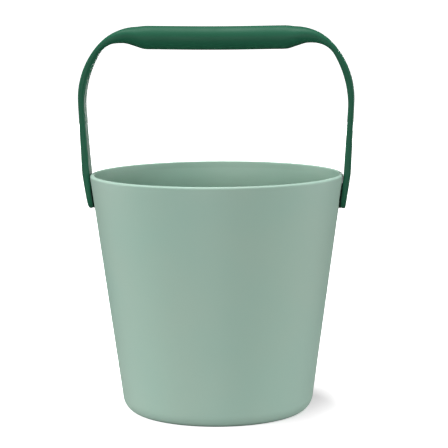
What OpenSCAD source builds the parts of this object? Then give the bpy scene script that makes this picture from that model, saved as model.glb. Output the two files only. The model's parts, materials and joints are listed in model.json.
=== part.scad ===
// Tapered sand bucket with a swinging strap handle.
// +Z is up, the origin is on the bucket's axis at the plane it stands on,
// and the two handle pivots lie on a line parallel to X.

/* [Bucket] */
// Diameter across the mouth where the wall line meets the rim plane
mouth_d = 176; // [160:0.1:190]
// Height of the bucket without its handle
bucket_h = 167; // [150:1:180]
// Diameter where the wall line meets the standing plane
base_d = 130.4; // [120:0.1:140]
// Thickness of the side wall
wall_t = 2.5; // [2:0.1:3.5]
// Thickness of the rounded rim
rim_t = 2.8; // [2.7:0.1:4]
// Outer radius of the corner between wall and base
corner_r = 12; // [6:0.5:14]
// Inner radius of the corner between wall and floor
floor_corner_r = 8; // [5:0.5:10]
// Thickness of the floor
floor_t = 3; // [2:0.1:4]
// Depth of the recess under the floor, which leaves a foot ring
foot_recess = 1.6; // [0.8:0.1:3]
// Width of the flat foot ring
foot_w = 8; // [5:0.5:12]

/* [Handle] */
// Diameter of the round grip
grip_d = 16.3; // [14:0.1:20]
// Length of the straight part of the grip
grip_l = 99; // [85:1:105]
// Height of the grip's axis
grip_z = 261.3; // [250:0.1:275]
// Span across the outsides of the two arms
handle_span = 191.2; // [189:0.1:196]
// Width of the strap from front to back
strap_w = 18; // [14:0.5:20]
// Stand-off of the strap's outer face from the wall at its lower end
tab_out = 4.6; // [4.4:0.1:6]
// Stand-off of the strap's outer face from the wall at the rim
rim_out = 5.1; // [4.8:0.1:6.5]

/* [Pivots] */
// Distance of the pivot axis below the rim
pivot_drop = 15.5; // [14:0.5:20]
// Radius of the stud's shank
shank_r = 2.5; // [2:0.1:3]
// Radius of the knob that the strap snaps over
knob_r = 3.8; // [3.3:0.1:4.2]
// Thickness of the knob
knob_t = 1; // [0.8:0.1:1.2]
// Radius of the button head inside the bucket
button_r = 6.5; // [5:0.5:8]
// Thickness of the button head at its middle
button_t = 2.2; // [1.8:0.1:3]
// Depth of strap between its inner face and the pocket for the knob
neck_t = 0.9; // [0.7:0.1:1]

/* [Hidden] */
$fn = 240;

// Clearances: round running fit, flat running fit, and between moving and fixed surfaces
round_play = 0.06;
flat_play = 0.1;
air = 0.33;

// The wall is a cone: its radius grows by taper for each millimetre of height
mouth_r = mouth_d / 2;
base_r = base_d / 2;
taper = (mouth_r - base_r) / bucket_h;
lean = atan(taper);
wall_gap = wall_t / cos(lean);
floor_z = foot_recess + floor_t;
foot_r = inside_of(outer_r(corner_r), corner_r);

// The rim: its two roundings, and the heights below it where it starts to thin and is wall again
rim_outer_round = 1.4;
rim_inner_round = 0.8;
rim_deep = 4;
rim_blend = 7;

tab_r = strap_w / 2;
pivot_z = bucket_h - pivot_drop;
pivot_wall_x = outer_r(pivot_z);
tab_face_x = outer_r(pivot_z + tab_r) + air;
washer_r = tab_r - 0.4;
// The strap's inner face is flat out to tab_r from the pivot, then a shallow cone out to sweep_r,
// just past the rim, because wall and rim pass there as the handle swings
sweep_r = pivot_drop + 1;
sweep_x = outer_r(pivot_z + sweep_r) + air;

// The strap's side view: each face rises straight, bends over a wide shoulder and a tighter crown,
// and meets the grip. The turns are the angles at which shoulder and crown join.
arm_x = handle_span / 2;
arm_t = 4.5;
shoulder_r = 56;
shoulder_turn = 45;
crown_r = 35;
inner_shoulder_r = 70;
inner_shoulder_turn = 30;
inner_crown_r = 16;
strap_top_z = grip_z + grip_d / 2 - 0.7;
strap_under_z = grip_z - 3.9;
strap_start_x = 61;
kink_z = bucket_h + 0.5;
inner_kink_z = pivot_z + sweep_r + 1;

// Radius of the outer and of the inner wall surface at height z
function outer_r(z) = base_r + taper * z;
function inner_r(z) = outer_r(z) - wall_gap;

// Points along an arc about (cx, cy), from angle a0 to angle a1
function arc(cx, cy, r, a0, a1, n = 12) =
    [for (i = [0:n]) let(a = a0 + (a1 - a0) * i / n) [cx + r * cos(a), cy + r * sin(a)]];

// Where an arc of radius r is centred that touches a wall line from inside, level with its centre
function inside_of(wall_x, r) = wall_x - r / cos(lean);

// Half section of the bucket, as radius and height
function shell_outline() =
    let(
        floor_arc_z = floor_z + floor_corner_r,
        floor_arc_x = inside_of(inner_r(floor_arc_z), floor_corner_r),
        rim_arc_z = bucket_h - rim_outer_round,
        rim_arc_x = inside_of(outer_r(rim_arc_z), rim_outer_round),
        lip_x = rim_arc_x + rim_outer_round - rim_t
    )
    concat(
        [[0, foot_recess]],
        [[foot_r - foot_w - foot_recess, foot_recess]],
        [[foot_r - foot_w, 0]],
        arc(foot_r, corner_r, corner_r, -90, -lean),
        arc(rim_arc_x, rim_arc_z, rim_outer_round, -lean, 90),
        arc(lip_x + rim_inner_round, bucket_h - rim_inner_round, rim_inner_round, 90, 180, 8),
        [[lip_x, bucket_h - rim_deep]],
        [[inner_r(bucket_h - rim_blend), bucket_h - rim_blend]],
        arc(floor_arc_x, floor_arc_z, floor_corner_r, -lean, -90),
        [[0, floor_z]]
    );

// Side view of the right arm of the strap, as distance from the middle and height
function strap_outline() =
    let(
        shoulder_x = arm_x - shoulder_r,
        shoulder_z = strap_top_z - crown_r - (shoulder_r - crown_r) * sin(shoulder_turn),
        crown_x = shoulder_x + (shoulder_r - crown_r) * cos(shoulder_turn),
        crown_z = strap_top_z - crown_r,
        under_turn = inner_shoulder_turn,
        under_step = inner_shoulder_r - inner_crown_r,
        under_x = arm_x - arm_t - inner_shoulder_r,
        under_z = strap_under_z - inner_crown_r - under_step * sin(under_turn),
        crook_x = under_x + under_step * cos(under_turn),
        crook_z = strap_under_z - inner_crown_r,
        start_turn = acos((strap_start_x - crown_x) / crown_r)
    )
    concat(
        [[tab_face_x, pivot_z - tab_r]],
        [[outer_r(pivot_z - tab_r) + tab_out, pivot_z - tab_r]],
        [[outer_r(kink_z) + rim_out, kink_z]],
        arc(shoulder_x, shoulder_z, shoulder_r, 0, shoulder_turn),
        arc(crown_x, crown_z, crown_r, shoulder_turn + 4, start_turn, 10),
        [[strap_start_x, strap_under_z]],
        arc(crook_x, crook_z, inner_crown_r, 90, under_turn + 8, 8),
        arc(under_x, under_z, inner_shoulder_r, under_turn, 0, 10),
        [[sweep_x + 0.05, inner_kink_z]],
        [[tab_face_x, inner_kink_z]]
    );

// Places children given about +Z onto the pivot axis, pointing away from the bucket
module on_pivot(x = 0) {
    translate([x, 0, pivot_z])
        rotate([0, 90, 0])
            children();
}

// Solid cone that fills the bucket out to its outer or its inner wall surface
module wall_cone(skin = 0) {
    cylinder(h = bucket_h, r1 = base_r - skin, r2 = mouth_r - skin);
}

module bucket_shell() {
    color([0.6, 0.71, 0.65])
        difference() {
            rotate_extrude()
                polygon(shell_outline());
            on_pivot(-mouth_r)
                cylinder(h = mouth_d, r = shank_r + round_play);
        }
}

// What the strap's inner face leaves free for the wall and the rim
module wall_sweep() {
    depth = sweep_x - tab_face_x;
    difference() {
        on_pivot(tab_face_x - 1)
            cylinder(h = depth + 1, r = sweep_r + 4);
        on_pivot(tab_face_x)
            cylinder(h = depth, r1 = tab_r + 0.2, r2 = sweep_r);
        on_pivot(tab_face_x - 2)
            cylinder(h = 3, r = tab_r + 0.2);
    }
}

// Right-hand half of the handle's strap, without the grip
module strap_arm() {
    difference() {
        translate([0, tab_r, 0])
            rotate([90, 0, 0])
                linear_extrude(strap_w)
                    polygon(strap_outline());
        // Half-round lower end, centred on the pivot
        difference() {
            translate([pivot_wall_x, -strap_w, pivot_z - strap_w])
                cube([strap_w, 2 * strap_w, strap_w]);
            on_pivot(pivot_wall_x - 1)
                cylinder(h = strap_w + 2, r = tab_r);
        }
        wall_sweep();
        // Hole for the shank and pocket for the knob
        on_pivot(tab_face_x - 1)
            cylinder(h = 1 + neck_t + flat_play, r = shank_r + round_play);
        on_pivot(tab_face_x + neck_t)
            cylinder(h = knob_t + 2 * flat_play, r = knob_r + round_play);
    }
}

// Where the round grip flattens into the strap
module grip_end() {
    sunk = 0.1;
    slab_z = strap_under_z + sunk;
    slab_top = strap_top_z - 1;
    hull() {
        translate([grip_l / 2 - 3, 0, grip_z])
            rotate([0, 90, 0])
                cylinder(h = 2.5, r = grip_d / 2 - sunk, $fn = 40);
        translate([strap_start_x, sunk - tab_r, slab_z])
            cube([2, strap_w - 2 * sunk, slab_top - slab_z]);
    }
}

module handle() {
    color([0.15, 0.35, 0.27])
        union() {
            translate([-grip_l / 2, 0, grip_z])
                rotate([0, 90, 0])
                    cylinder(h = grip_l, d = grip_d);
            for (side = [0, 1])
                mirror([side, 0, 0]) {
                    strap_arm();
                    grip_end();
                }
        }
}

// Stud with a domed button inside the bucket, a shank through the wall, and a knob in the strap
module pivot_stud() {
    dome_r = (button_r * button_r + button_t * button_t) / (2 * button_t);
    shank_start = inner_r(pivot_z) - 1;
    knob_start = tab_face_x + neck_t + flat_play;
    color([0.15, 0.35, 0.27])
        union() {
            intersection() {
                on_pivot(inner_r(pivot_z) - button_t - 0.6)
                    cylinder(h = 5, r = button_r);
                on_pivot(inner_r(pivot_z) - button_t - 0.8 + dome_r)
                    sphere(r = dome_r);
                wall_cone(wall_gap);
            }
            on_pivot(shank_start)
                cylinder(h = knob_start + knob_t / 2 - shank_start, r = shank_r);
            on_pivot(knob_start)
                cylinder(h = knob_t, r = knob_r);
        }
}

// Spacer whose back follows the wall and whose face is square to the pivot axis
module pivot_washer() {
    color([0.1, 0.24, 0.18])
        difference() {
            on_pivot(outer_r(pivot_z - tab_r) - 1)
                cylinder(h = tab_face_x - flat_play - outer_r(pivot_z - tab_r) + 1, r = washer_r);
            wall_cone();
            on_pivot(pivot_wall_x - wall_t - 2)
                cylinder(h = 10, r = shank_r + round_play);
        }
}

module left_pivot_stud() {
    mirror([1, 0, 0])
        pivot_stud();
}

module right_pivot_stud() {
    pivot_stud();
}

module left_pivot_washer() {
    mirror([1, 0, 0])
        pivot_washer();
}

module right_pivot_washer() {
    pivot_washer();
}

bucket_shell();
handle();
left_pivot_stud();
right_pivot_stud();
left_pivot_washer();
right_pivot_washer();
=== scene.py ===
"""Looks of the sand bucket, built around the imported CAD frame.

Everything is in metres, in the CAD's own frame: +Z is up, the bucket stands on z = 0 on its axis,
and the two handle pivots lie on a line parallel to X.
"""

import json
from math import atan, cos, degrees, pi, radians, sin, sqrt

import bmesh
import bpy
from mathutils import Matrix, Vector


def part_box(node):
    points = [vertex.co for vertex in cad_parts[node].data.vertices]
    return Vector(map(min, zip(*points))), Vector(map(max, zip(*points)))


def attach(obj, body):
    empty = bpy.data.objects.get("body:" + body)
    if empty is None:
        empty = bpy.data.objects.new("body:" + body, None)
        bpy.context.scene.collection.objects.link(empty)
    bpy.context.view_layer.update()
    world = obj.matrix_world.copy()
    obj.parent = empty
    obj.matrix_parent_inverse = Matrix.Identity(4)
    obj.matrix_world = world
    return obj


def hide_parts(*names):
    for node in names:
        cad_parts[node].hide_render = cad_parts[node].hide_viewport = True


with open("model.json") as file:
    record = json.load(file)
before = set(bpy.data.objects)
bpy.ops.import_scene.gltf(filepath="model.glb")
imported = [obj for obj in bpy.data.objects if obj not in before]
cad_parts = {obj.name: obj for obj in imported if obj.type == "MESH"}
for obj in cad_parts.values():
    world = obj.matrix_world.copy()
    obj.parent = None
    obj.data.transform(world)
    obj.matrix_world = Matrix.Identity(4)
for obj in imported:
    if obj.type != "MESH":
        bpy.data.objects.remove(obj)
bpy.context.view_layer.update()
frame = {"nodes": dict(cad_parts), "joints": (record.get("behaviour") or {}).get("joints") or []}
MM = 0.001

# ---------------------------------------------------------------- driving values
# These come from the frame.

RIM_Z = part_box("bucket_shell")[1].z
HANDLE_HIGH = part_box("handle")[1]
WASHER_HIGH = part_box("right_pivot_washer")[1]
PIVOT_Z = frame["joints"][0]["pos_m"][2]
TAB_R = HANDLE_HIGH.y
ARM_X = HANDLE_HIGH.x
TOP_Z = HANDLE_HIGH.z

# These are the design's own. SWEEP_R reaches from the pivots to just above the rim.

MOUTH_R = 88 * MM
BASE_R = 65.2 * MM
TAPER = (MOUTH_R - BASE_R) / RIM_Z
LEAN = atan(TAPER)
TAB_FACE_X = WASHER_HIGH.x + 0.02 * MM
TAB_OUTER_EDGE_R = 1.5 * MM
TAB_INNER_EDGE_R = 0.12 * MM
STUD_HOLE_R = 2.56 * MM
SWEEP_R = 16.5 * MM
SWEEP_AIR = 0.08 * MM
GRIP_R = 8.15 * MM
GRIP_HALF = 49.5 * MM
GRIP_SAG = 0.55 * MM


def wall_x(z):
    """Outer radius of the bucket's wall line at height z."""
    return BASE_R + TAPER * z


def wall_depth(y, z):
    """How far the wall's outside is from the plane x = 0, at a given y and z."""
    return sqrt(wall_x(z) ** 2 - y * y)


# ---------------------------------------------------------------- mesh helpers


def arc(centre, radius, start, end, steps):
    """Points along an arc about a centre, from one angle in degrees to another."""
    angles = [radians(start + (end - start) * i / steps) for i in range(steps + 1)]
    return [Vector((centre[0] + radius * cos(a), centre[1] + radius * sin(a))) for a in angles]


def line(start, end, steps=1):
    """Points along a straight line."""
    a, b = Vector(start), Vector(end)
    return [a.lerp(b, i / steps) for i in range(steps + 1)]


def along(points, steps):
    """The same path again, as evenly spaced points."""
    lengths = [(b - a).length for a, b in zip(points, points[1:])]
    total = sum(lengths)
    result, leg, start = [], 0, 0.0
    for i in range(steps + 1):
        want = total * i / steps
        while leg < len(lengths) - 1 and start + lengths[leg] < want:
            start += lengths[leg]
            leg += 1
        share = (want - start) / lengths[leg] if lengths[leg] else 0
        result.append(points[leg].lerp(points[leg + 1], min(share, 1)))
    return result


def relax(points, passes):
    """Softens the corners of a path, and leaves its two ends."""
    for _ in range(passes):
        middle = [(a + 2 * b + c) / 4 for a, b, c in zip(points, points[1:], points[2:])]
        points = [points[0], *middle, points[-1]]
    return points


def mesh_object(name, verts, faces, smooth=True):
    """A new object from vertices and faces."""
    mesh = bpy.data.meshes.new(name)
    mesh.from_pydata(verts, [], faces)
    mesh.update()
    for polygon in mesh.polygons:
        polygon.use_smooth = smooth
    obj = bpy.data.objects.new(name, mesh)
    bpy.context.scene.collection.objects.link(obj)
    return obj


def tidy_mesh(obj, merge=0.01 * MM):
    """Merges doubled points and turns all faces outwards."""
    bm = bmesh.new()
    bm.from_mesh(obj.data)
    bmesh.ops.remove_doubles(bm, verts=bm.verts, dist=merge)
    bmesh.ops.recalc_face_normals(bm, faces=bm.faces)
    bm.to_mesh(obj.data)
    bm.free()


def apply_modifiers(obj):
    """Replaces an object's mesh by what its modifiers make of it."""
    graph = bpy.context.evaluated_depsgraph_get()
    finished = bpy.data.meshes.new_from_object(obj.evaluated_get(graph))
    obj.modifiers.clear()
    obj.data = finished


def skin(rings, closed_ends=False):
    """Faces that join equal rings of points one after another."""
    sides = len(rings[0])
    faces = []
    for ring in range(len(rings) - 1):
        low, high = ring * sides, (ring + 1) * sides
        for i in range(sides):
            j = (i + 1) % sides
            faces.append((low + i, low + j, high + j, high + i))
    if closed_ends:
        faces.append(tuple(reversed(range(sides))))
        faces.append(tuple(range(len(rings) * sides - sides, len(rings) * sides)))
    return [p for ring in rings for p in ring], faces


def turned(name, outline, sides):
    """A skin turned about Z from an outline of radius and height."""
    angles = [2 * pi * i / sides for i in range(sides)]
    rings = [[(p.x * cos(a), p.x * sin(a), p.y) for a in angles] for p in outline]
    return mesh_object(name, *skin(rings))


def pivot_ring(x, radius, sides):
    """A ring of points about the pivot line."""
    angles = [2 * pi * i / sides for i in range(sides)]
    return [(x, radius * cos(a), PIVOT_Z + radius * sin(a)) for a in angles]


def drill(obj, profile, sides=64):
    """Cuts a round hole along the pivot line. Its profile is a list of x and radius."""
    rings = [pivot_ring(x, radius, sides) for x, radius in profile]
    cutter = mesh_object("cutter", *skin(rings, closed_ends=True), smooth=False)
    tidy_mesh(cutter)
    cut = obj.modifiers.new("hole", "BOOLEAN")
    cut.operation = "DIFFERENCE"
    cut.solver = "EXACT"
    cut.object = cutter
    apply_modifiers(obj)
    bpy.data.objects.remove(cutter)


# ---------------------------------------------------------------- materials


def noise(nodes, links, coords, scale, detail=4.0):
    """A noise texture on given coordinates."""
    node = nodes.new("ShaderNodeTexNoise")
    node.inputs["Scale"].default_value = scale
    node.inputs["Detail"].default_value = detail
    links.new(coords, node.inputs["Vector"])
    return node.outputs["Fac"]


def spread(nodes, links, value, low, high, from_low=0.3, from_high=0.7):
    """Maps a value from one range to another."""
    node = nodes.new("ShaderNodeMapRange")
    node.inputs["From Min"].default_value = from_low
    node.inputs["From Max"].default_value = from_high
    node.inputs["To Min"].default_value = low
    node.inputs["To Max"].default_value = high
    links.new(value, node.inputs["Value"])
    return node.outputs["Result"]


def maths_node(nodes, kind, operation):
    """A node of a maths kind, set to its operation."""
    node = nodes.new(kind)
    node.operation = operation
    return node


def mix_colours(nodes, links, factor, first, second):
    """Mixes two colours by a value."""
    node = nodes.new("ShaderNodeMix")
    node.data_type = "RGBA"
    node.inputs[6].default_value = (*first, 1)
    node.inputs[7].default_value = (*second, 1)
    links.new(factor, node.inputs["Factor"])
    return node.outputs[2]


def moulded_material(name, pale, deep, roughness, specular, grain_size, grain_depth):
    """A moulded plastic or rubber: slow colour drift, fine spark-eroded grain and uneven gloss."""
    drift_scale, cloud_scale, gloss_change, grain_strength = 14, 55, 0.04, 0.5
    material = bpy.data.materials.new(name)
    material.use_nodes = True
    nodes, links = material.node_tree.nodes, material.node_tree.links
    shader = nodes["Principled BSDF"]
    coords = nodes.new("ShaderNodeTexCoord").outputs["Object"]
    drift = spread(nodes, links, noise(nodes, links, coords, drift_scale), 0, 1)
    links.new(mix_colours(nodes, links, drift, pale, deep), shader.inputs["Base Color"])
    cloud = noise(nodes, links, coords, cloud_scale, detail=5)
    gloss = spread(nodes, links, cloud, roughness - gloss_change, roughness + gloss_change)
    links.new(gloss, shader.inputs["Roughness"])
    grain = nodes.new("ShaderNodeBump")
    grain.inputs["Distance"].default_value = grain_depth
    grain.inputs["Strength"].default_value = grain_strength
    links.new(noise(nodes, links, coords, 1 / grain_size, detail=2), grain.inputs["Height"])
    links.new(grain.outputs["Normal"], shader.inputs["Normal"])
    shader.inputs["Specular IOR Level"].default_value = specular
    return material


def paint_shade_at_wall(material, depth, share):
    """Paints shade into a material: darkens it to a share of its colour, from the bucket's wall
    line out to a depth, for the shadowed gap between the washer and the wall.
    """
    fade = 0.2 * depth
    nodes, links = material.node_tree.nodes, material.node_tree.links
    shader = nodes["Principled BSDF"]
    coords = nodes.new("ShaderNodeTexCoord").outputs["Object"]
    flat = maths_node(nodes, "ShaderNodeVectorMath", "MULTIPLY")
    flat.inputs[1].default_value = (1, 1, 0)
    links.new(coords, flat.inputs[0])
    radius = maths_node(nodes, "ShaderNodeVectorMath", "LENGTH")
    links.new(flat.outputs["Vector"], radius.inputs[0])
    height = nodes.new("ShaderNodeSeparateXYZ")
    links.new(coords, height.inputs["Vector"])
    off_taper = maths_node(nodes, "ShaderNodeMath", "MULTIPLY_ADD")
    off_taper.inputs[1].default_value = -TAPER
    links.new(height.outputs["Z"], off_taper.inputs[0])
    links.new(radius.outputs["Value"], off_taper.inputs[2])
    near, far = BASE_R + depth - fade, BASE_R + depth + fade
    # painted shade: the share of the colour at the wall line, rising to the full colour past the
    # depth
    paler = spread(nodes, links, off_taper.outputs["Value"], share, 1, near, far)
    shade = maths_node(nodes, "ShaderNodeVectorMath", "SCALE")
    links.new(shader.inputs["Base Color"].links[0].from_socket, shade.inputs[0])
    links.new(paler, shade.inputs["Scale"])
    links.new(shade.outputs["Vector"], shader.inputs["Base Color"])


def put_material(obj, material):
    """Gives an object one material."""
    obj.data.materials.clear()
    obj.data.materials.append(material)


# ---------------------------------------------------------------- the bucket


def shell_outline():
    """Radius and height from the axis below, over the foot, wall and rim, to the axis inside."""
    wall_t = 2.5 * MM / cos(LEAN)
    corner_r, floor_corner_r = 12 * MM, 8 * MM
    recess, floor_t, foot_w = 1.6 * MM, 3 * MM, 8 * MM
    outer_round, inner_round, rim_t = 1.4 * MM, 0.8 * MM, 2.8 * MM
    lip_z, bead_z = RIM_Z - 4 * MM, RIM_Z - 7 * MM
    floor_z = recess + floor_t
    lean = degrees(LEAN)

    corner = (wall_x(corner_r) - corner_r / cos(LEAN), corner_r)
    foot_in = corner[0] - foot_w
    rim_z = RIM_Z - outer_round
    rim = (wall_x(rim_z) - outer_round / cos(LEAN), rim_z)
    lip_x = rim[0] + outer_round - rim_t
    floor_arc_z = floor_z + floor_corner_r
    floor_arc = (wall_x(floor_arc_z) - wall_t - floor_corner_r / cos(LEAN), floor_arc_z)
    wall_low = arc(corner, corner_r, -lean, -lean, 1)[0]
    wall_high = arc(rim, outer_round, -lean, -lean, 1)[0]

    outline = line((0, recess), (foot_in - 2 * recess, recess), 8)
    outline += line((foot_in - recess, recess), (foot_in, 0), 2)
    outline += arc(corner, corner_r, -90, -lean, 16)
    outline += line(wall_low, wall_high, 24)[1:-1]
    outline += arc(rim, outer_round, -lean, 90, 12)
    outline += arc((lip_x + inner_round, RIM_Z - inner_round), inner_round, 90, 180, 8)
    inside_low = arc(floor_arc, floor_corner_r, -lean, -lean, 1)[0]
    inside_high = (wall_x(bead_z) - wall_t, bead_z)
    outline += line((lip_x, lip_z), inside_high, 3)
    outline += line(inside_high, inside_low, 24)[1:-1]
    outline += arc(floor_arc, floor_corner_r, -lean, -90, 14)
    outline += line((floor_arc[0] * 0.9, floor_z), (0, floor_z), 8)
    return outline


def make_shell(material, sides=256):
    """The bucket as one turned skin with the two pivot holes."""
    shell = turned("sand_bucket", shell_outline(), sides)
    tidy_mesh(shell)
    put_material(shell, material)
    drill(shell, [(-MOUTH_R, STUD_HOLE_R), (MOUTH_R, STUD_HOLE_R)])
    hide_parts("bucket_shell")
    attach(shell, "bucket")


# ---------------------------------------------------------------- the handle


def strap_sides():
    """Matching points of the outer and inner side, from the right end to the grip's middle.

    Each side climbs the wall, turns over a wide shoulder and a tight crown, and meets the grip.
    """
    tab_out, rim_out, in_rim_out, arm_t = 4.6 * MM, 5.1 * MM, 0.1 * MM, 4.5 * MM
    crown, shoulder, in_crown, in_shoulder = 35 * MM, 56 * MM, 16 * MM, 70 * MM
    crook_run = 5.5 * MM
    strap_top, strap_under = TOP_Z - 0.7 * MM, TOP_Z - 12.05 * MM
    foot_z, tab_z = PIVOT_Z - TAB_R, PIVOT_Z + TAB_R
    kink_z, in_kink_z = RIM_Z + 0.5 * MM, PIVOT_Z + SWEEP_R + 1 * MM
    shoulder_end, in_shoulder_end, split, crown_split = 45, 30, 36, 70

    crown_z = strap_top - crown
    step = shoulder - crown
    turn = radians(shoulder_end)
    shoulder_c = (ARM_X - shoulder, crown_z - step * sin(turn))
    crown_c = (shoulder_c[0] + step * cos(turn), crown_z)
    in_step = in_shoulder - in_crown
    in_crown_z = strap_under - in_crown
    in_turn = radians(in_shoulder_end)
    in_shoulder_c = (ARM_X - arm_t - in_shoulder, in_crown_z - in_step * sin(in_turn))
    in_crown_c = (in_shoulder_c[0] + in_step * cos(in_turn), in_crown_z)

    foot_out = (wall_x(foot_z) + tab_out, foot_z)
    kink_out = (wall_x(kink_z) + rim_out, kink_z)
    tab_share = (tab_z - foot_z) / (kink_z - foot_z)
    tab_top_out = Vector(foot_out).lerp(Vector(kink_out), tab_share)
    foot_in, tab_top_in = (TAB_FACE_X, foot_z), (TAB_FACE_X, tab_z)
    kink_in = (wall_x(PIVOT_Z + SWEEP_R) + in_rim_out, in_kink_z)
    arm_out, arm_in = (ARM_X, shoulder_c[1]), (ARM_X - arm_t, in_shoulder_c[1])
    in_crown_end = (in_crown_c[0], strap_under)
    crook = (in_crown_c[0] - crook_run, strap_under)
    grip_out, grip_in = (GRIP_HALF, TOP_Z), (GRIP_HALF, TOP_Z - 2 * GRIP_R)

    pairs = [
        (line(foot_out, tab_top_out), line(foot_in, tab_top_in), 40),
        (line(tab_top_out, kink_out), line(tab_top_in, kink_in), 8),
        (line(kink_out, arm_out), line(kink_in, arm_in), 24),
        (
            arc(shoulder_c, shoulder, 0, split, 16),
            arc(in_shoulder_c, in_shoulder, 0, in_shoulder_end, 16),
            20,
        ),
        (
            arc(shoulder_c, shoulder, split, shoulder_end, 4)
            + arc(crown_c, crown, shoulder_end, crown_split, 12)[1:],
            arc(in_crown_c, in_crown, in_shoulder_end, 90, 16),
            20,
        ),
        (
            arc(crown_c, crown, crown_split, 90, 8) + [Vector(grip_out)],
            line(in_crown_end, crook) + [Vector(grip_in)],
            16,
        ),
        (line(grip_out, (0, TOP_Z)), line(grip_in, (0, TOP_Z - 2 * GRIP_R)), 36),
    ]
    outer, inner = [Vector(foot_out)], [Vector(foot_in)]
    for out_path, in_path, steps in pairs:
        outer += along(out_path, steps)[1:]
        inner += along(in_path, steps)[1:]
    return relax(outer, 3), relax(inner, 3)


def quarter_section(thick, wide, edge, roundness):
    """A quarter of the section, as depth and width, from the middle of the broad side to the edge.

    roundness goes from 0, a flat strap with rounded edges, to 1, a round grip.
    """
    flat_steps, edge_steps = 5, 8
    flat = [(thick, (wide - edge) * i / flat_steps) for i in range(flat_steps)]
    strap = [Vector(p) for p in flat] + arc((thick - edge, wide - edge), edge, 0, 90, edge_steps)
    count = len(strap) - 1
    mixed = []
    for i, point in enumerate(strap):
        a = pi / 2 * i / count
        mixed.append(point.lerp(Vector((thick * cos(a), wide * sin(a))), roundness))
    return mixed


def round_tip(points, thick, wide, edge, tip):
    """Narrows a quarter section that lies tip below the pivot, so that the end is half round."""
    bent = []
    for depth, width in points:
        over = max(tip - (wide - edge), 0)
        if width < tip:
            depth = thick - edge + sqrt(max(edge * edge - over * over, 0))
        bent.append(Vector((depth, sqrt(max(width * width - tip * tip, 0)))))
    return bent


def closed_section(outer, inner):
    """The whole ring from a quarter on the outer and one on the inner side, in order round it."""
    ring = [(d, w) for d, w in outer]
    ring += [(-d, w) for d, w in reversed(inner)]
    ring += [(-d, -w) for d, w in inner]
    ring += [(d, -w) for d, w in reversed(outer)]
    return ring


def edge_radii(thick, z):
    """Radii of the outer and inner edges: small along the wall, and full a way above the rim."""
    way, full = 15 * MM, 0.85 * thick
    free = min(max((z - RIM_Z) / way, 0), 1)
    tab_radii = (min(TAB_OUTER_EDGE_R, thick), min(TAB_INNER_EDGE_R, thick))
    return [radius + (full - radius) * free for radius in tab_radii]


def clear_of_sweep(x, y, z):
    """Lays the strap's inner side close to the wall, yet clear of wall and rim as it swings."""
    washer_margin, pull = 0.15 * MM, 0.6 * MM
    reach = sqrt(y * y + (z - PIVOT_Z) ** 2)
    nearest = wall_x(PIVOT_Z) + SWEEP_AIR + TAPER * max(min(reach, SWEEP_R), TAB_R)
    outside_washer = WASHER_HIGH.y + washer_margin < reach < SWEEP_R
    if outside_washer and x < nearest + pull:
        return nearest
    return max(x, nearest) if TAB_R < reach < 2 * SWEEP_R else x


def sag(x):
    """How much the soft grip hangs down, from its middle to a little past its end."""
    past_end = 12 * MM
    span = GRIP_HALF + past_end
    return GRIP_SAG * (1 + cos(pi * x / span)) / 2 if x < span else 0


def handle_rings():
    """Rings of points from the right end of the strap over the grip to the left end."""
    outer, inner = strap_sides()
    blend_run = 24 * MM
    rings = []
    for out, into in zip(outer, inner):
        middle, across = (out + into) / 2, out - into
        thick, upward = across.length / 2, across.normalized()
        tip = max(PIVOT_Z - middle.y, 0) if middle.x > ARM_X / 2 else 0
        share = min(max((GRIP_HALF + blend_run - middle.x) / blend_run, 0), 1)
        roundness = share * share * (3 - 2 * share)
        wide = TAB_R + (GRIP_R - TAB_R) * roundness
        quarters = []
        for edge in edge_radii(thick, middle.y):
            quarter = quarter_section(thick, wide, edge, roundness)
            if tip:
                quarter = round_tip(quarter, thick, wide, edge, min(tip, TAB_R))
            quarters.append(quarter)
        ring = []
        for depth, width in closed_section(*quarters):
            point = middle + upward * depth
            z = point.y - sag(point.x)
            ring.append((clear_of_sweep(point.x, width, z), width, z))
        rings.append(ring)
    left = [[(-x, y, z) for x, y, z in ring] for ring in reversed(rings[:-1])]
    return rings + left


def make_handle(material):
    """The handle as one soft moulding, with the sockets that hold the pivot studs."""
    handle = mesh_object("strap_handle", *skin(handle_rings()))
    tidy_mesh(handle, merge=0.02 * MM)
    put_material(handle, material)
    neck_end, pocket_end = TAB_FACE_X + 0.98 * MM, TAB_FACE_X + 2.18 * MM
    start, pocket_r = TAB_FACE_X - 1 * MM, 3.86 * MM
    for side in (-1, 1):
        socket = [(start, STUD_HOLE_R), (neck_end, STUD_HOLE_R)]
        socket += [(neck_end, pocket_r), (pocket_end, pocket_r)]
        drill(handle, [(side * x, radius) for x, radius in socket])
    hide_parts("handle")
    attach(handle, "handle")


# ---------------------------------------------------------------- the pivots


def make_washer(name, side, material, steps=96):
    """A washer on the pivot: its back follows the wall, and its front edge is rounded."""
    outer_r, front, edge = WASHER_HIGH.y, WASHER_HIGH.x, 0.15 * MM
    sections = []
    for i in range(steps):
        y, z = cos(2 * pi * i / steps), sin(2 * pi * i / steps)
        back = wall_depth(outer_r * y, PIVOT_Z + outer_r * z)
        hole_back = wall_depth(STUD_HOLE_R * y, PIVOT_Z + STUD_HOLE_R * z)
        section = [(hole_back, STUD_HOLE_R), (back, outer_r)]
        section += arc((front - edge, outer_r - edge), edge, 90, 0, 4)
        section += [(front, STUD_HOLE_R)]
        sections.append([(side * x, r * y, PIVOT_Z + r * z) for x, r in section])
    washer = mesh_object(name, *skin(sections + sections[:1]))
    tidy_mesh(washer)
    put_material(washer, material)
    return washer


# ---------------------------------------------------------------- stage, light and camera

SOFTBOX_DISTANCE = 2.5
SKY_ABOVE = 0.2
SKY_BELOW = 0.04
FLOOR_GLOW = 0.36
CARD_GLOW = 0.22


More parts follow.
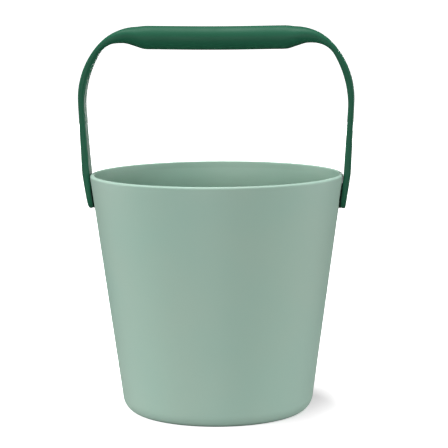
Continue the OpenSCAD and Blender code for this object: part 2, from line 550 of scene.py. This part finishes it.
def make_stage():
    """A glowing white floor that curves up all round.

    Its glow is lower in an oval behind the bucket's right, for the soft shade in the photograph.
    """
    sides, start_r, flat_r, bend, top = 64, 0.01, 5.0, 2.0, 7.0
    shade_x, shade_y, shade_narrow, shade_inner, shade_outer = 0.045, 0.08, 0.38, 0.02, 0.07
    outline = line((start_r, 0), (flat_r, 0), 4) + arc((flat_r, bend), bend, -90, 0, 16)[1:]
    outline += line((flat_r + bend, bend), (flat_r + bend, top), 2)[1:]
    floor = turned("studio_floor", outline, sides)
    material = bpy.data.materials.new("studio_white")
    material.use_nodes = True
    nodes, links = material.node_tree.nodes, material.node_tree.links
    shader = nodes["Principled BSDF"]
    shader.inputs["Base Color"].default_value = (0.9, 0.9, 0.9, 1)
    shader.inputs["Roughness"].default_value = 0.9
    shader.inputs["Specular IOR Level"].default_value = 0
    shader.inputs["Emission Color"].default_value = (1, 1, 1, 1)
    offset = maths_node(nodes, "ShaderNodeVectorMath", "MULTIPLY_ADD")
    offset.inputs[1].default_value = (1, shade_narrow, 1)
    offset.inputs[2].default_value = (-shade_x, -shade_y * shade_narrow, 0)
    links.new(nodes.new("ShaderNodeTexCoord").outputs["Object"], offset.inputs[0])
    away = maths_node(nodes, "ShaderNodeVectorMath", "LENGTH")
    links.new(offset.outputs["Vector"], away.inputs[0])
    distance = away.outputs["Value"]
    glow = spread(nodes, links, distance, FLOOR_GLOW, 1, shade_inner, shade_outer)
    glow.node.interpolation_type = "SMOOTHSTEP"
    links.new(glow, shader.inputs["Emission Strength"])
    put_material(floor, material)
    floor.visible_diffuse = False
    floor.visible_glossy = False


def make_floor_card():
    """A glowing ring round the bucket's foot, for the light that a white table throws back."""
    sides, inner_r, outer_r, height = 64, BASE_R - 3 * MM, 0.3, 0.5 * MM
    card = turned("floor_card", line((inner_r, height), (outer_r, height)), sides)
    material = bpy.data.materials.new("studio_card")
    material.use_nodes = True
    shader = material.node_tree.nodes["Principled BSDF"]
    shader.inputs["Base Color"].default_value = (0, 0, 0, 1)
    shader.inputs["Emission Color"].default_value = (1, 1, 1, 1)
    shader.inputs["Emission Strength"].default_value = CARD_GLOW
    put_material(card, material)
    card.visible_camera = False
    card.visible_shadow = False


def area_light(name, place, target, width, height, power):
    """A rectangular light that looks at a point, and that the camera doesn't see."""
    data = bpy.data.lights.new(name, "AREA")
    data.shape = "RECTANGLE"
    data.size = width
    data.size_y = height
    data.energy = power
    light = bpy.data.objects.new(name, data)
    light.location = place
    light.rotation_euler = (Vector(target) - Vector(place)).to_track_quat("-Z", "Y").to_euler()
    light.visible_camera = False
    bpy.context.scene.collection.objects.link(light)


def softbox(name, around, above, width, height, strength):
    """A softbox, turned round the bucket from the front and raised by angles in degrees.

    Its strength is the brightness that it gives a white card at the bucket.
    """
    middle = Vector((0, 0, RIM_Z * 0.7))
    level = SOFTBOX_DISTANCE * cos(radians(above))
    rise = SOFTBOX_DISTANCE * sin(radians(above))
    place = middle + Vector((level * sin(radians(around)), -level * cos(radians(around)), rise))
    area_light(name, place, middle, width, height, strength * pi * pi * SOFTBOX_DISTANCE ** 2)


def make_sky():
    """White surroundings, brighter above than below."""
    horizon = 0.1
    world = bpy.data.worlds.new("studio")
    bpy.context.scene.world = world
    world.use_nodes = True
    nodes, links = world.node_tree.nodes, world.node_tree.links
    direction = nodes.new("ShaderNodeSeparateXYZ")
    links.new(nodes.new("ShaderNodeTexCoord").outputs["Generated"], direction.inputs["Vector"])
    rise = spread(nodes, links, direction.outputs["Z"], SKY_BELOW, SKY_ABOVE, -horizon, horizon)
    nodes["Background"].inputs["Color"].default_value = (1, 1, 1, 1)
    links.new(rise, nodes["Background"].inputs["Strength"])


def make_lights():
    """Softboxes overhead and on all four sides."""
    make_sky()
    long, low = 0.9, 0.35
    softbox("top_softbox", around=-60, above=86, width=0.7, height=0.7, strength=0.98)
    softbox("front_softbox", around=-10, above=3, width=1.6, height=0.5, strength=0.53)
    softbox("left_softbox", around=-102, above=1, width=long, height=low, strength=0.42)
    softbox("right_softbox", around=104, above=1, width=long, height=low, strength=0.5)
    softbox("back_softbox", around=180, above=1, width=long, height=low, strength=0.22)


def make_camera():
    """A long lens a little to the right of the front, looking slightly down."""
    distance, height, azimuth = 1400 * MM, 315 * MM, radians(3.8)
    heading, tilt, roll = radians(0.2) - azimuth, radians(7.47), radians(-0.35)
    ahead = Vector((sin(heading) * cos(tilt), cos(heading) * cos(tilt), -sin(tilt)))
    right = Vector((cos(heading), -sin(heading), 0))
    up = right.cross(ahead)
    rolled_right = cos(roll) * right + sin(roll) * up
    rolled_up = cos(roll) * up - sin(roll) * right
    data = bpy.data.cameras.new("camera")
    data.sensor_width = 36
    data.lens = 162.7
    camera = bpy.data.objects.new("camera", data)
    turn = Matrix((rolled_right, rolled_up, -ahead)).transposed().to_4x4()
    place = (distance * sin(azimuth), -distance * cos(azimuth), height)
    camera.matrix_world = Matrix.Translation(place) @ turn
    bpy.context.scene.collection.objects.link(camera)
    bpy.context.scene.camera = camera


# ---------------------------------------------------------------- the whole scene

bucket_plastic = moulded_material(
    "bucket_plastic",
    pale=(0.432, 0.6, 0.502),
    deep=(0.398, 0.592, 0.498),
    roughness=0.5,
    specular=0.3,
    grain_size=0.35 * MM,
    grain_depth=0.03 * MM,
)
handle_rubber = moulded_material(
    "handle_rubber",
    pale=(0.018, 0.125, 0.069),
    deep=(0.015, 0.113, 0.06),
    roughness=0.55,
    specular=0.15,
    grain_size=0.3 * MM,
    grain_depth=0.03 * MM,
)
stud_plastic = moulded_material(
    "stud_plastic",
    pale=(0.018, 0.125, 0.069),
    deep=(0.015, 0.113, 0.06),
    roughness=0.4,
    specular=0.3,
    grain_size=0.3 * MM,
    grain_depth=0.02 * MM,
)
washer_rubber = moulded_material(
    "washer_rubber",
    pale=(0.017, 0.12, 0.066),
    deep=(0.014, 0.108, 0.058),
    roughness=0.6,
    specular=0.2,
    grain_size=0.3 * MM,
    grain_depth=0.03 * MM,
)
# Painted shade: the washer's colour is darkened near the wall, where it lies in the shadow between
# strap and wall.
paint_shade_at_wall(washer_rubber, depth=1.4 * MM, share=0.15)

make_shell(bucket_plastic)
make_handle(handle_rubber)
for side, direction in (("left", -1), ("right", 1)):
    put_material(frame["nodes"][side + "_pivot_stud"], stud_plastic)
    washer = make_washer(side + "_washer", direction, washer_rubber)
    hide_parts(side + "_pivot_washer")
    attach(washer, "bucket")

make_stage()
make_floor_card()
make_lights()
make_camera()
bpy.context.scene.view_settings.view_transform = "Standard"
